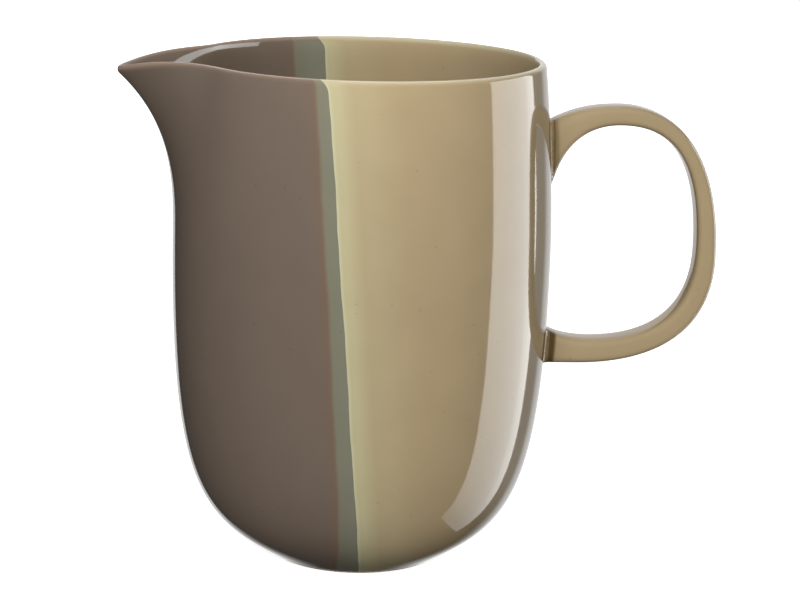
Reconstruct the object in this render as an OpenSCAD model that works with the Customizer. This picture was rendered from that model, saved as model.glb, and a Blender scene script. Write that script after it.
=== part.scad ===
// Stoneware crock jug: a cast clay body with a pulled spout, a strap handle luted on with slip,
// and two glazes, dipped from either side, that overlap in a narrow sage band.
// Millimetres. +Z is up, the spout points to -X and the handle to +X, and the origin is the
// middle of the foot, where it stands on the table.

/* [Body] */
// Height of the rim above the table
jug_h = 180; // [160:1:215]
// Outer radius at the widest part of the belly
belly_r = 67.4; // [60:0.2:80]
// Height of the widest part of the belly
belly_z = 113; // [90:1:128]
// Outer radius just under the rim
rim_r = 63.4; // [56:0.2:75]
// How far the wall leans inwards at the rim, in degrees
rim_lean_angle = 8; // [0:0.5:12]
// Thickness of the rounded rim
rim_t = 3.6; // [3:0.1:5]
// Thickness of the wall at the belly, glazes included
wall_t = 4.2; // [3.4:0.1:6]
// Thickness of the wall where the belly meets the foot
heel_t = 5.6; // [4:0.1:7]
// Thickness of the bottom, inside glaze included
floor_t = 3.4; // [3:0.1:6]

/* [Foot] */
// Outer radius of the unglazed foot ring
foot_r = 31.2; // [25:0.2:36]
// Width of the bare clay between the foot ring and the glaze
bare_w = 0.9; // [0.6:0.1:3]
// Width of the foot ring on the table
foot_w = 4.6; // [3:0.1:7]
// Height from the table to the lower edge of the glaze
foot_h = 0.8; // [0.6:0.1:3]
// Depth of the turned hollow inside the foot ring
recess_h = 1.6; // [1:0.1:3]
// Bevel of the foot ring's edges
foot_bevel = 0.5; // [0.2:0.1:0.8]
// How steeply the belly leaves the foot, in degrees
heel_rise_angle = 32; // [12:1:35]

/* [Spout] */
// How far the spout's tip stands out beyond the round of the rim
spout_reach = 23; // [15:0.2:32]
// How far the tip droops below the rim
spout_droop = 5; // [0:0.1:9]
// Half the angle that the spout takes up at the rim, in degrees
spout_half_angle = 33; // [28:1:48]
// Roundness of the spout's keel, in degrees
spout_keel_angle = 1.8; // [0.5:0.1:5]

/* [Handle] */
// How far the top of the handle lies below the rim
handle_drop = 15.6; // [6:0.2:30]
// Height of the underside of the lower arm
handle_low = 70.4; // [60:0.2:84]
// How far the handle stands out beyond the belly
handle_out = 60.5; // [45:0.1:70]
// Thickness of the strap at the top and the outside
handle_t = 7.2; // [5:0.1:9]
// Thickness of the strap along the lower arm
handle_low_t = 9.1; // [6:0.1:11]
// Width of the strap at its upper end
handle_w = 12; // [10:0.5:20]
// Width of the strap at its lower end
handle_low_w = 12.5; // [10:0.5:18]
// How far the top of the strap falls towards the wall
root_fall = 6; // [2:0.2:9]
// Height of the flared upper root on the wall
root_h = 23; // [14:0.5:28]
// Height of the lower root on the wall
root_low_h = 13; // [9:0.5:18]

/* [Slip joints] */
// Thickness of the slip between the wall and the handle's end
slip_t = 0.8; // [0.5:0.1:1.5]
// Width of the slip fillet round each root
slip_bead = 1.4; // [0.8:0.1:2.5]

/* [Glaze] */
// Thickness of the fired glaze
glaze_t = 0.4; // [0.3:0.05:0.8]
// How far past the middle, towards the spout, the sand dip reaches at the rim: sage begins here
sand_dip_reach = 22.6; // [18:0.1:30]
// Lean of the sand dip's edge from upright, in degrees
sand_dip_lean_angle = 4.2; // [0:0.1:8]
// Turn of the sand dip's edge round the axis, in degrees
sand_dip_turn_angle = 0.3; // [-8:0.1:8]
// How far short of the middle the taupe dip stops at the rim: sand begins here
taupe_dip_gap = 14.2; // [8:0.1:17]
// Lean of the taupe dip's edge from upright, in degrees
taupe_dip_lean_angle = 4.8; // [0:0.1:8]
// Turn of the taupe dip's edge round the axis, in degrees
taupe_dip_turn_angle = -3.2; // [-8:0.1:8]

/* [Hidden] */

// Colours
clay_colour = "#d8cbb0";
slip_colour = "#b49f7c";
taupe_colour = "#6c6054";
sage_colour = "#7e7f6e";
sand_colour = "#b09b78";

// How finely the curves are divided
turn_facets = 96;
belly_steps = 12;
belly_inside_steps = 8;
shoulder_steps = 8;
lip_steps = 3;
floor_steps = 3;
spout_columns = 26;
round_columns = 24;
arm_steps = 8;
strap_points = 20;

// Steps for the slopes that are measured on the surface
angle_probe = 0.01;
run_probe_share = 0.0001;

// Shares that bend the curves of the wall
heel_pull_share = 0.647;
belly_pull_share = 0.82;
shoulder_pull_share = 0.32;
rim_pull_share = 0.151;
floor_pull_shares = [0.97, 0.5];

// The spout: how it fades round the rim, down the wall, and how its tip droops
spout_round_power = 1.18;
spout_fade_power = 2.31;
spout_rise_power = 2.74;
droop_power = 1.74;
// Spacing of the columns, closer together at the keel
column_power = 1.3;

// Shares that bend the handle's outline, along its reach and its height
outer_top_shares = [0.097, 0.213, 0.395];
outer_fall_share = 0.335;
outer_turn_shares = [0.713, 0.836];
outer_mid_share = 0.414;
outer_heel_shares = [0.143, 0.701, 0.194];
inner_top_shares = [0.049, 0.192, 0.393];
inner_flare_share = 0.68;
inner_turn_shares = [0.713, 0.782];
inner_mid_share = 0.452;
inner_heel_shares = [0.197, 0.642, 0.275];
inner_root_shares = [0.178, 0.058];
inner_root_rise_share = 0.3;
// Squareness of the strap's rounded section
strap_power = 0.42;
// Rings of the scribed ends and of the slip fillet, as shares from the middle outwards
end_shares = [0.35, 0.7];
fillet_shares = [0.35, 0.7];

// A cube far larger than the jug, for cutting it in two
cut_size = 4 * jug_h;

function bezier(p, t) = pow(1 - t, 3) * p[0] + 3 * pow(1 - t, 2) * t * p[1]
    + 3 * (1 - t) * t * t * p[2] + pow(t, 3) * p[3];
function bezier_way(p, t) = 3 * pow(1 - t, 2) * (p[1] - p[0]) + 6 * (1 - t) * t * (p[2] - p[1])
    + 3 * t * t * (p[3] - p[2]);
function unit(v) = v / norm(v);
function outward(v) = [unit(v)[1], -unit(v)[0]];
function flat(list) = [for (group = list) each group];
function reversed(list) = [for (i = [len(list) - 1 : -1 : 0]) list[i]];

// The wall's outside, as radius and height: from the foot to the belly, and on to the rim
heel_r = foot_r + bare_w;
heel_way = heel_pull_share * (belly_r - heel_r);
belly_curve = [
    [heel_r, foot_h],
    [heel_r + heel_way, foot_h + heel_way * tan(heel_rise_angle)],
    [belly_r, belly_z * (1 - belly_pull_share)],
    [belly_r, belly_z]
];
rim_z = jug_h - rim_t / 2 * (1 - sin(rim_lean_angle));
shoulder_h = rim_z - belly_z;
shoulder_curve = [
    [belly_r, belly_z],
    [belly_r, belly_z + shoulder_pull_share * shoulder_h],
    [rim_r, rim_z] + rim_pull_share * shoulder_h * [sin(rim_lean_angle), -cos(rim_lean_angle)],
    [rim_r, rim_z]
];
function heel_wall(t) = heel_t + (wall_t - heel_t) * t;
function shoulder_wall(t) = wall_t + (rim_t - wall_t) * t;

// Points under the finished surface by a depth of d: outside and inside of the lower wall
function belly_outside(t, d) = bezier(belly_curve, t) - d * outward(bezier_way(belly_curve, t));
function belly_inside(t, d) = belly_outside(t, heel_wall(t) - d);
function floor_z(d) = recess_h + floor_t - d;
function floor_curve(d) = [
    belly_inside(0, d),
    [belly_inside(0, d)[0] * floor_pull_shares[0], floor_z(d)],
    [belly_inside(0, d)[0] * floor_pull_shares[1], floor_z(d)],
    [0, floor_z(d)]
];
function stood(p, a) = [-p[0] * cos(a), p[0] * sin(a), p[1]];

// The upper wall with its spout: angle from the spout's keel, and share of the way to the rim
function keel_angle(a) = sqrt(a * a + spout_keel_angle * spout_keel_angle) - spout_keel_angle;
function spout_share(a) = pow(max(0,
    1 - pow(keel_angle(a) / keel_angle(spout_half_angle), spout_round_power)), spout_fade_power);
function rise_share(z) = pow(max(0, (z - belly_z) / shoulder_h), spout_rise_power);
function upper_outside(a, t) = let (
    p = bezier(shoulder_curve, t),
    share = spout_share(a),
    r = p[0] + spout_reach * share * rise_share(p[1])
) stood([r, p[1] - spout_droop * pow(share, droop_power) * rise_share(p[1])], a);
function round_way(a, t) = unit(upper_outside(a + angle_probe, t) - upper_outside(a - angle_probe, t));
function up_way(a, t) = unit(upper_outside(a, t + run_probe_share) - upper_outside(a, t - run_probe_share));
function out_way(a, t) = unit(cross(up_way(a, t), round_way(a, t)));

// The lip's half circle, from the outside over the top to the inside
lip_turns = concat(
    [for (i = [0 : lip_steps - 1]) i / lip_steps * (90 - rim_lean_angle)],
    [for (i = [0 : lip_steps]) (90 - rim_lean_angle) + i / lip_steps * (90 + rim_lean_angle)]
);
function lip_path(a, d) = let (
    out = out_way(a, 1),
    up = unit(cross(round_way(a, 1), out)),
    middle = upper_outside(a, 1) - rim_t / 2 * out
) [for (turn = lip_turns) middle + (rim_t / 2 - d) * (cos(turn) * out + sin(turn) * up)];

// One column of the wall at angle a and depth d: up the outside, over the lip, and down the
// inside to the last step before the middle of the floor
function column(a, d) = concat(
    [for (i = [0 : belly_steps - 1]) stood(belly_outside(i / belly_steps, d), a)],
    [for (i = [0 : shoulder_steps - 1]) let (t = i / shoulder_steps)
        upper_outside(a, t) - d * out_way(a, t)],
    lip_path(a, d),
    [for (i = [shoulder_steps - 1 : -1 : 0]) let (t = i / shoulder_steps)
        upper_outside(a, t) - (shoulder_wall(t) - d) * out_way(a, t)],
    [for (i = [belly_inside_steps - 1 : -1 : 0]) stood(belly_inside(i / belly_inside_steps, d), a)],
    [for (i = [1 : floor_steps - 1]) stood(bezier(floor_curve(d), i / floor_steps), a)]
);
column_angles = concat(
    [for (i = [-spout_columns / 2 : spout_columns / 2])
        90 * sign(i) * pow(abs(i) * 2 / spout_columns, column_power)],
    [for (i = [1 : round_columns - 1]) 90 + i / round_columns * 180]
);

// The wall's rings at depth d, from the foot over the lip to the floor
function wall_rings(d) = let (columns = [for (a = column_angles) column(a, d)])
    [for (i = [0 : len(columns[0]) - 1]) [for (line = columns) line[i]]];

// The radius of the wall's outside at a height, at depth d, away from the spout, and how far
// out its flat facets lie at a distance y to the side
function outside_table(d) = concat(
    [for (i = [0 : belly_steps - 1]) let (p = belly_outside(i / belly_steps, d)) [p[1], p[0]]],
    [for (i = [0 : shoulder_steps]) let (p = upper_outside(180, i / shoulder_steps)
        - d * out_way(180, i / shoulder_steps)) [p[2], p[0]]]
);
bare_table = outside_table(glaze_t);
glazed_table = outside_table(0);
facet_shares = [for (i = [0 : 6]) [sin(i * 180 / round_columns), cos(i * 180 / round_columns)]];
function wall_x(y, z, table) = let (r = lookup(z, table)) r * lookup(abs(y) / r, facet_shares);

// A solid made of closed rings, drawn to a point at both ends. The first rings, up to ring
// number turned, split their squares the other way, as they run the other way along a wall
module capped(first, rings, last, turned = 0) {
    n = len(rings[0]);
    top = len(rings) - 1;
    sides = [for (j = [0 : top - 1]) for (i = [0 : n - 1]) let (k = (i + 1) % n, s = j * n)
        each j < turned
            ? [[s + i, s + k, s + n + k], [s + i, s + n + k, s + n + i]]
            : [[s + i, s + k, s + n + i], [s + k, s + n + k, s + n + i]]];
    ends = [for (i = [0 : n - 1]) let (k = (i + 1) % n)
        each [[n * top + n, k, i], [n * top + n + 1, top * n + i, top * n + k]]];
    polyhedron(points = concat(flat(rings), [first, last]), faces = concat(sides, ends));
}

// A tube wall between outer and inner rings, open at both ends
module sleeve(outer, inner) {
    swept_ring = [for (j = [0 : len(outer) - 1]) concat(outer[j], inner[j])];
    n = len(outer[0]);
    last = len(outer) - 1;
    m = 2 * n;
    sides = [for (j = [0 : last - 1]) for (i = [0 : n - 1]) let (k = (i + 1) % n, s = j * m) each [
        [s + i, s + k, s + m + i],
        [s + k, s + m + k, s + m + i],
        [s + n + k, s + n + i, s + m + n + i],
        [s + n + k, s + m + n + i, s + m + n + k]
    ]];
    ends = [for (i = [0 : n - 1]) let (k = (i + 1) % n, s = last * m) each [
        [k, i, n + i],
        [k, n + i, n + k],
        [s + i, s + k, s + n + i],
        [s + k, s + n + k, s + n + i]
    ]];
    polyhedron(points = flat(swept_ring), faces = concat(sides, ends));
}

// Clay body: foot ring, wall, pulled spout and lip, all one piece
module clay_body() {
    foot_top = floor_z(floor_t / 2);
    foot = [
        [foot_r - foot_w, foot_bevel],
        [foot_r - foot_w + foot_bevel, 0],
        [foot_r - foot_bevel, 0],
        [foot_r, foot_bevel],
        [foot_r, foot_top],
        [foot_r - foot_w, foot_top]
    ];
    underside = [for (a = column_angles) stood([foot_r - foot_w / 2, recess_h], a)];
    color(clay_colour) union() {
        capped([0, 0, recess_h], concat([underside], wall_rings(glaze_t)), [0, 0, floor_z(glaze_t)]);
        rotate_extrude($fn = turn_facets)
            polygon(foot);
    }
}

// The whole glaze coat, inside and out, before it is parted into its colours
module glaze_coat() {
    under = wall_rings(glaze_t);
    capped([0, 0, floor_z(glaze_t)], concat(reversed(under), wall_rings(0)), [0, 0, floor_z(0)],
        len(under) - 1);
}

// The space on the spout's side of a dip's edge, which lies at a distance from the middle at the rim
module spout_side(distance, lean, turn) {
    translate([-distance, 0, jug_h])
        rotate([0, -lean, turn])
            translate([-cut_size, -cut_size / 2, -cut_size / 2])
                cube(cut_size);
}

// Taupe glaze: the spout's side, up to the edge of the sand dip
module taupe_glaze() {
    color(taupe_colour) intersection() {
        glaze_coat();
        spout_side(sand_dip_reach, sand_dip_lean_angle, sand_dip_turn_angle);
    }
}

// Sage band: where the two dips overlap
module sage_glaze_band() {
    color(sage_colour) difference() {
        intersection() {
            glaze_coat();
            spout_side(taupe_dip_gap, taupe_dip_lean_angle, taupe_dip_turn_angle);
        }
        spout_side(sand_dip_reach, sand_dip_lean_angle, sand_dip_turn_angle);
    }
}

// Sand glaze: the handle's side, with a window at each root, where slip meets bare clay
module sand_glaze() {
    color(sand_colour) difference() {
        glaze_coat();
        spout_side(taupe_dip_gap, taupe_dip_lean_angle, taupe_dip_turn_angle);
        root_window(upper_outline);
        root_window(reversed(lower_outline));
    }
}

// A window's cutter follows the wall, and runs past both faces of the glaze by its thickness
module root_window(outline) {
    capped(
        end_point(outline, bare_table, -glaze_t),
        [scribed(outline, bare_table, -glaze_t), scribed(outline, glazed_table, glaze_t)],
        end_point(outline, glazed_table, glaze_t)
    );
}

// The handle's outline: its outer and inner edge in the plane of the spout and the handle
handle_top = jug_h - handle_drop;
handle_h = handle_top - handle_low;
handle_x = belly_r + handle_out;
function reach(share) = belly_r + share * handle_out;
function rise(share) = handle_low + share * handle_h;
function root_point(z) = [lookup(z, bare_table) + slip_t, z];
under_top = handle_top - handle_t;
over_low = handle_low + handle_low_t;
outer_curves = [
    [
        root_point(handle_top - root_fall),
        [reach(outer_top_shares[0]), handle_top - outer_fall_share * root_fall],
        [reach(outer_top_shares[1]), handle_top],
        [reach(outer_top_shares[2]), handle_top]
    ],
    [
        [reach(outer_top_shares[2]), handle_top],
        [reach(outer_turn_shares[0]), handle_top],
        [handle_x, rise(outer_turn_shares[1])],
        [handle_x, rise(outer_mid_share)]
    ],
    [
        [handle_x, rise(outer_mid_share)],
        [handle_x, rise(outer_heel_shares[0])],
        [reach(outer_heel_shares[1]), handle_low],
        [reach(outer_heel_shares[2]), handle_low]
    ],
    [
        [reach(outer_heel_shares[2]), handle_low],
        (2 * [reach(outer_heel_shares[2]), handle_low] + root_point(handle_low)) / 3,
        ([reach(outer_heel_shares[2]), handle_low] + 2 * root_point(handle_low)) / 3,
        root_point(handle_low)
    ]
];
inner_root = handle_top - root_fall - root_h;
low_root = handle_low + root_low_h;
inner_curves = [
    [
        root_point(inner_root),
        [reach(inner_top_shares[0]), inner_root + inner_flare_share * (under_top - inner_root)],
        [reach(inner_top_shares[1]), under_top],
        [reach(inner_top_shares[2]), under_top]
    ],
    [
        [reach(inner_top_shares[2]), under_top],
        [reach(inner_turn_shares[0]), under_top],
        [handle_x - handle_t, rise(inner_turn_shares[1])],
        [handle_x - handle_t, rise(inner_mid_share)]
    ],
    [
        [handle_x - handle_t, rise(inner_mid_share)],
        [handle_x - handle_t, rise(inner_heel_shares[0])],
        [reach(inner_heel_shares[1]), over_low],
        [reach(inner_heel_shares[2]), over_low]
    ],
    [
        [reach(inner_heel_shares[2]), over_low],
        [reach(inner_root_shares[0]), over_low],
        [reach(inner_root_shares[1]), over_low + inner_root_rise_share * (low_root - over_low)],
        root_point(low_root)
    ]
];

// Where the strap's rings lie: which curve, and how far along it
bead_share = slip_bead / norm(bezier_way(outer_curves[0], 0));
low_bead_share = 1 - slip_bead / norm(bezier_way(outer_curves[3], 1));
strap_stops = concat(
    [[0, 0], [0, bead_share]],
    [for (i = [1 : arm_steps]) [0, bead_share + i / arm_steps * (1 - bead_share)]],
    [for (i = [1 : arm_steps]) [1, i / arm_steps]],
    [for (i = [1 : arm_steps]) [2, i / arm_steps]],
    [for (i = [1 : arm_steps / 2]) [3, i / arm_steps * 2 * low_bead_share]],
    [[3, 1]]
);
function rounded(share) = sign(share) * pow(abs(share), strap_power);

// One ring of the strap, at depth d under its finished surface; a depth below zero is outside it
function strap_ring(stop, d) = let (
    outer = bezier(outer_curves[stop[0]], stop[1]),
    inner = bezier(inner_curves[stop[0]], stop[1]),
    middle = (outer + inner) / 2,
    half = norm(outer - inner) / 2 - d,
    way = unit(outer - inner),
    wide = (handle_w + (handle_low_w - handle_w) * (stop[0] + stop[1]) / 4) / 2 - d
) [for (i = [0 : strap_points - 1]) let (
    a = 360 * i / strap_points,
    p = middle + half * rounded(cos(a)) * way
) [p[0], wide * rounded(sin(a)), p[1]]];
function outline(ring) = [for (p = ring) [p[1], p[2]]];
function centre(list) = (list[0] + list[strap_points / 2]) / 2;
function scribed(points, table, gap) = [for (p = points) [wall_x(p[0], p[1], table) + gap, p[0], p[1]]];
function shrunk(points, share) = [for (p = points) centre(points) + share * (p - centre(points))];
function end_point(points, table, gap) = scribed([centre(points)], table, gap)[0];

// The outline of the slip on the wall, wider than the strap by the bead
upper_outline = outline(strap_ring(strap_stops[0], -slip_bead));
lower_outline = outline(strap_ring(strap_stops[len(strap_stops) - 1], -slip_bead));

// Clay handle: one strap, scribed at both ends to the round of the wall
module clay_handle() {
    upper = outline(strap_ring(strap_stops[0], glaze_t));
    lower = outline(strap_ring(strap_stops[len(strap_stops) - 1], glaze_t));
    rings = concat(
        [for (share = end_shares) scribed(shrunk(upper, share), bare_table, slip_t)],
        [scribed(upper, bare_table, slip_t)],
        [for (i = [1 : len(strap_stops) - 2]) strap_ring(strap_stops[i], glaze_t)],
        [scribed(lower, bare_table, slip_t)],
        [for (share = reversed(end_shares)) scribed(shrunk(lower, share), bare_table, slip_t)]
    );
    color(clay_colour)
        capped(end_point(upper, bare_table, slip_t), rings, end_point(lower, bare_table, slip_t));
}

// Handle glaze: a thin sleeve over the strap, between the two slip fillets
module handle_glaze() {
    stops = [for (i = [1 : len(strap_stops) - 2]) strap_stops[i]];
    color(sand_colour)
        sleeve([for (stop = stops) strap_ring(stop, 0)], [for (stop = stops) strap_ring(stop, glaze_t)]);
}

// Slip joint: the layer behind the strap's end, and the fillet that squeezed out round it. Its
// rings run out from the wall along the strap, and are turned end for end where the strap ends
module slip_joint(end_stop, next_stop, wide, strap_starts) {
    bare_end = outline(strap_ring(end_stop, glaze_t));
    strap_end = scribed(outline(strap_ring(end_stop, 0)), glazed_table, 0);
    next_ring = strap_ring(next_stop, 0);
    edge = scribed(wide, glazed_table, 0);
    rings = concat(
        [for (share = end_shares) scribed(shrunk(wide, share), bare_table, 0)],
        [scribed(wide, bare_table, 0), edge],
        [for (share = fillet_shares) [for (i = [0 : strap_points - 1]) pow(1 - share, 2) * edge[i]
            + 2 * share * (1 - share) * strap_end[i] + share * share * next_ring[i]]],
        [next_ring, strap_ring(next_stop, glaze_t)],
        [scribed(bare_end, bare_table, slip_t)],
        [for (share = reversed(end_shares)) scribed(shrunk(bare_end, share), bare_table, slip_t)]
    );
    at_wall = end_point(wide, bare_table, 0);
    at_strap = end_point(bare_end, bare_table, slip_t);
    color(slip_colour)
        if (strap_starts)
            capped(at_wall, rings, at_strap);
        else
            capped(at_strap, reversed(rings), at_wall);
}
module upper_slip_joint() {
    slip_joint(strap_stops[0], strap_stops[1], upper_outline, true);
}
module lower_slip_joint() {
    last = len(strap_stops) - 1;
    slip_joint(strap_stops[last], strap_stops[last - 1], lower_outline, false);
}

clay_body();
clay_handle();
upper_slip_joint();
lower_slip_joint();
taupe_glaze();
sage_glaze_band();
sand_glaze();
handle_glaze();
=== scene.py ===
import math
import bmesh
import bpy
from mathutils import Matrix, Vector


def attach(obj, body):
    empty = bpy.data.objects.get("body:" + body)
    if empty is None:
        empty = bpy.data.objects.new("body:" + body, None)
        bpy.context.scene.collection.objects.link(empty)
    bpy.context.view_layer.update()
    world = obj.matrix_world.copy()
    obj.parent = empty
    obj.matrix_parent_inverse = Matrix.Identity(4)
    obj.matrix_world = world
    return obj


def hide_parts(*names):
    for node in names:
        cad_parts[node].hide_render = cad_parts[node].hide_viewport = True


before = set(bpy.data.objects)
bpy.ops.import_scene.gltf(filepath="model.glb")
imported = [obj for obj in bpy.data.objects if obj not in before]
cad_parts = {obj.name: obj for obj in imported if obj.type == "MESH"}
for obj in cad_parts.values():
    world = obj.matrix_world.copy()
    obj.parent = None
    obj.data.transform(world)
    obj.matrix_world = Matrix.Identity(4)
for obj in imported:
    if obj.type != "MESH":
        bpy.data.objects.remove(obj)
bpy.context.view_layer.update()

MM = 0.001
MATH = "ShaderNodeMath"
VECTOR = "ShaderNodeVectorMath"
# Sockets that share their name with another, by number: of Map Range, of Mix, of vector maths
VALUE, FROM_MIN, FROM_MAX, TO_MIN, TO_MAX = 0, 1, 2, 3, 4
FACTOR, FLOAT_A, FLOAT_B, VECTOR_A, VECTOR_B, COLOUR_A, COLOUR_B = 0, 2, 3, 4, 5, 6, 7
FIRST = 0

# Sizes in millimetres and angles in degrees, the same as the solids have
FOOT_R, FOOT_W, FOOT_BEVEL, BARE_W = 31.2, 4.6, 0.5, 0.9
FOOT_H, RECESS_H, FLOOR_T = 0.8, 1.6, 3.4
BELLY_R, BELLY_Z, HEEL_RISE = 67.4, 113.0, 32.0
RIM_R, RIM_LEAN, RIM_T, JUG_H = 63.4, 8.0, 3.6, 180.0
HEEL_T, WALL_T = 5.6, 4.2
SPOUT_REACH, SPOUT_DROOP, SPOUT_HALF, SPOUT_KEEL = 23.0, 5.0, 33.0, 1.8
HANDLE_DROP, HANDLE_LOW, HANDLE_OUT = 15.6, 70.4, 60.5
HANDLE_T, HANDLE_LOW_T, HANDLE_W, HANDLE_LOW_W = 7.2, 9.1, 12.0, 12.5
ROOT_FALL, ROOT_H, ROOT_LOW_H = 6.0, 23.0, 13.0
SLIP_T, SLIP_BEAD = 0.8, 1.4
GLAZE_T, SKIN_T = 0.4, 0.38

# The glaze ends above the foot in a small roll: its height, and its run up the wall's outline
ROLL_H, ROLL_RUN = 0.3, 0.0076
# How far down the lip is rounded off on the inside
LIP_FALL = 4.4
# The clay lies a hair deeper than the glaze, so that no two faces share a place
CLAY_DEPTH = GLAZE_T + 0.005
# The section of the strap runs from an ellipse at 1 to a box at 0
STRAP_SQUARENESS = 0.5

# Shares that shape the wall's outline, and powers that shape the spout, as fitted to the photo
HEEL_PULL, BELLY_PULL, SHOULDER_PULL, RIM_PULL = 0.647, 0.18, 0.32, 0.151
SPOUT_ROUND_POWER, SPOUT_FADE_POWER, SPOUT_RISE_POWER, DROOP_POWER = 1.18, 2.31, 2.74, 1.74

# Shares that shape the handle's two edges, from the upper root round to the lower one
OUTER_FALL, OUTER_TOP, OUTER_TURN = 0.335, (0.097, 0.213, 0.395), (0.713, 0.836)
OUTER_MID, OUTER_HEEL = 0.414, (0.143, 0.701, 0.194)
INNER_FLARE, INNER_TOP, INNER_TURN = 0.68, (0.049, 0.192, 0.393), (0.713, 0.782)
INNER_MID, INNER_HEEL = 0.452, (0.197, 0.642, 0.275)
INNER_ROOT, INNER_ROOT_RISE = (0.178, 0.058), 0.3

# Each dip's edge: how far from the axis it crosses the rim, and its lean with height and depth
SAND_DIP, TAUPE_DIP = (22.6, 0.0731, 0.0053), (14.2, 0.0841, -0.0559)
# Each wave of an edge's waver: its height, and its length over tau; and where the waves start
WAVER = ((0.14, 9.5), (0.07, 3.7), (0.04, 1.6))
SAND_PHASE, TAUPE_PHASE, FAR_SIDE_PHASE = 0.4, 1.7, 2.1
# At the lip the sand glaze begins this much later, and this far down it has made most of it good
RUN_IN, RUN_IN_FALL = 2.5, 2.6
FAR_FROM_LIP = 50.0
# The painted brown shade in the crease at each root: how far out from the wall it reaches, and how strong
# it is
UPPER_CREASE_SHADE, LOWER_CREASE_SHADE = (3.6, 0.5), (4.5, 0.95)

# An outline is made of curves with four corners each: two for the wall, four for the strap
CORNERS = 4
WALL_RUN, STRAP_RUN = 2, 4.0

# How fine the nets are: rows of the wall's net, its columns, and rings and points of the strap's
BELLY_ROWS, SHOULDER_ROWS, LIP_ROWS = 60, 44, 14
INNER_SHOULDER_ROWS, INNER_BELLY_ROWS, FLOOR_ROWS, ROLL_ROWS = 36, 48, 12, 4
GLAZE_COLUMNS, CLAY_COLUMNS, SPOUT_CROWDING = 288, 224, 1.35
GLAZE_RINGS, STRAP_RINGS, FILLET_RINGS, STRAP_POINTS = 170, 120, 12, 64
# The steps of the line that gives the wall's radius, and the pulls of the floor's curve
LINE_STEPS, FLOOR_PULLS = 60, (0.97, 0.5)
# Small steps of run or turn that give a slope, the distance at which two points are one (in
# metres), and the least distance from a dip's edge (in millimetres)
STEP, FINE_STEP, SAME_POINT, NO_DISTANCE = 0.004, 0.001, 1e-6, 1e-4


# Small tools

def linear(code):
    """A hex colour as the eye sees it, turned to the linear values that the shaders use."""
    shares = [int(code[i:i + 2], 16) / 255 for i in (1, 3, 5)]
    return [s / 12.92 if s <= 0.04045 else ((s + 0.055) / 1.055) ** 2.4 for s in shares] + [1]


def node(tree, kind, links=(), **settings):
    """Adds a node with its settings. Each link is a plain value, another node or its output."""
    made = tree.nodes.new(kind)
    for name, value in settings.items():
        setattr(made, name, value)
    pairs = links.items() if isinstance(links, dict) else enumerate(links)
    for place, value in pairs:
        if isinstance(value, bpy.types.Node):
            value = next(out for out in value.outputs if out.enabled)
        if isinstance(value, bpy.types.NodeSocket):
            tree.links.new(made.inputs[place], value)
        else:
            made.inputs[place].default_value = value
    return made


def narrowed(tree, share, points):
    """The point of a curve: points are drawn between neighbours until one is left."""
    while len(points) > 1:
        points = [node(tree, "ShaderNodeMix", {FACTOR: share, VECTOR_A: a, VECTOR_B: b},
                       data_type="VECTOR") for a, b in zip(points, points[1:])]
    return points[0]


def new_tree(name, given, made):
    """An empty tree of geometry nodes with named sockets going in and coming out."""
    tree = bpy.data.node_groups.new(name, "GeometryNodeTree")
    for side, sockets in (("INPUT", given), ("OUTPUT", made)):
        for title, kind in sockets.items():
            tree.interface.new_socket(title, in_out=side, socket_type="NodeSocket" + kind)
    return tree, node(tree, "NodeGroupInput").outputs


def new_material(name):
    """A material with an empty tree."""
    material = bpy.data.materials.new(name)
    material.use_nodes = True
    material.node_tree.nodes.clear()
    return material, material.node_tree


def placed(made):
    """Puts an object into the scene."""
    bpy.context.scene.collection.objects.link(made)
    return made


def point_object(name, points, **values):
    """Loose points that a tree reads: the corners of an outline, or the stops of a section."""
    mesh = bpy.data.meshes.new(name)
    mesh.from_pydata(points, [], [])
    for title, numbers in values.items():
        keep_numbers(mesh, title, numbers)
    return placed(bpy.data.objects.new(name, mesh))


def keep_numbers(mesh, title, numbers):
    """Keeps a number for each point of a mesh."""
    mesh.attributes.new(title, "FLOAT", "POINT").data.foreach_set("value", numbers)


def made_by(tree, name, **sizes):
    """Runs a tree once and keeps its result as a plain mesh."""
    made = point_object(name, [])
    shape = made.modifiers.new("shape", "NODES")
    shape.node_group = tree
    for socket in tree.interface.items_tree:
        title = socket.name.replace(" ", "_").lower()
        if socket.in_out == "INPUT" and title in sizes:
            shape[socket.identifier] = sizes[title]
    ready = made.evaluated_get(bpy.context.evaluated_depsgraph_get())
    mesh = bpy.data.meshes.new_from_object(ready)
    made.modifiers.remove(shape)
    made.data = mesh
    return made


# The camera, a little above the jug and 5 degrees round towards the spout from its broad side

JUG_MIDDLE = Vector((0, 0, 0.09))
CAMERA_TURN, CAMERA_RISE, CAMERA_ROLL = math.radians(-5), math.radians(13.1), math.radians(1.4)
CAMERA_AWAY = 0.88
camera = placed(bpy.data.objects.new("camera", bpy.data.cameras.new("camera")))
bpy.context.scene.camera = camera
back = Vector((math.sin(CAMERA_TURN) * math.cos(CAMERA_RISE),
               -math.cos(CAMERA_TURN) * math.cos(CAMERA_RISE), math.sin(CAMERA_RISE)))
camera.data.sensor_width = 36
camera.data.lens = 110.2
camera.data.shift_x = 0.0498
camera.data.shift_y = 0.0085
camera.data.clip_start = 0.05
aim = back.to_track_quat("Z", "Y").to_matrix() @ Matrix.Rotation(CAMERA_ROLL, 3, "Z")
camera.matrix_world = Matrix.LocRotScale(JUG_MIDDLE + CAMERA_AWAY * back, aim.to_quaternion(), None)


# Materials

GLASS_IOR = 1.52


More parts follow.
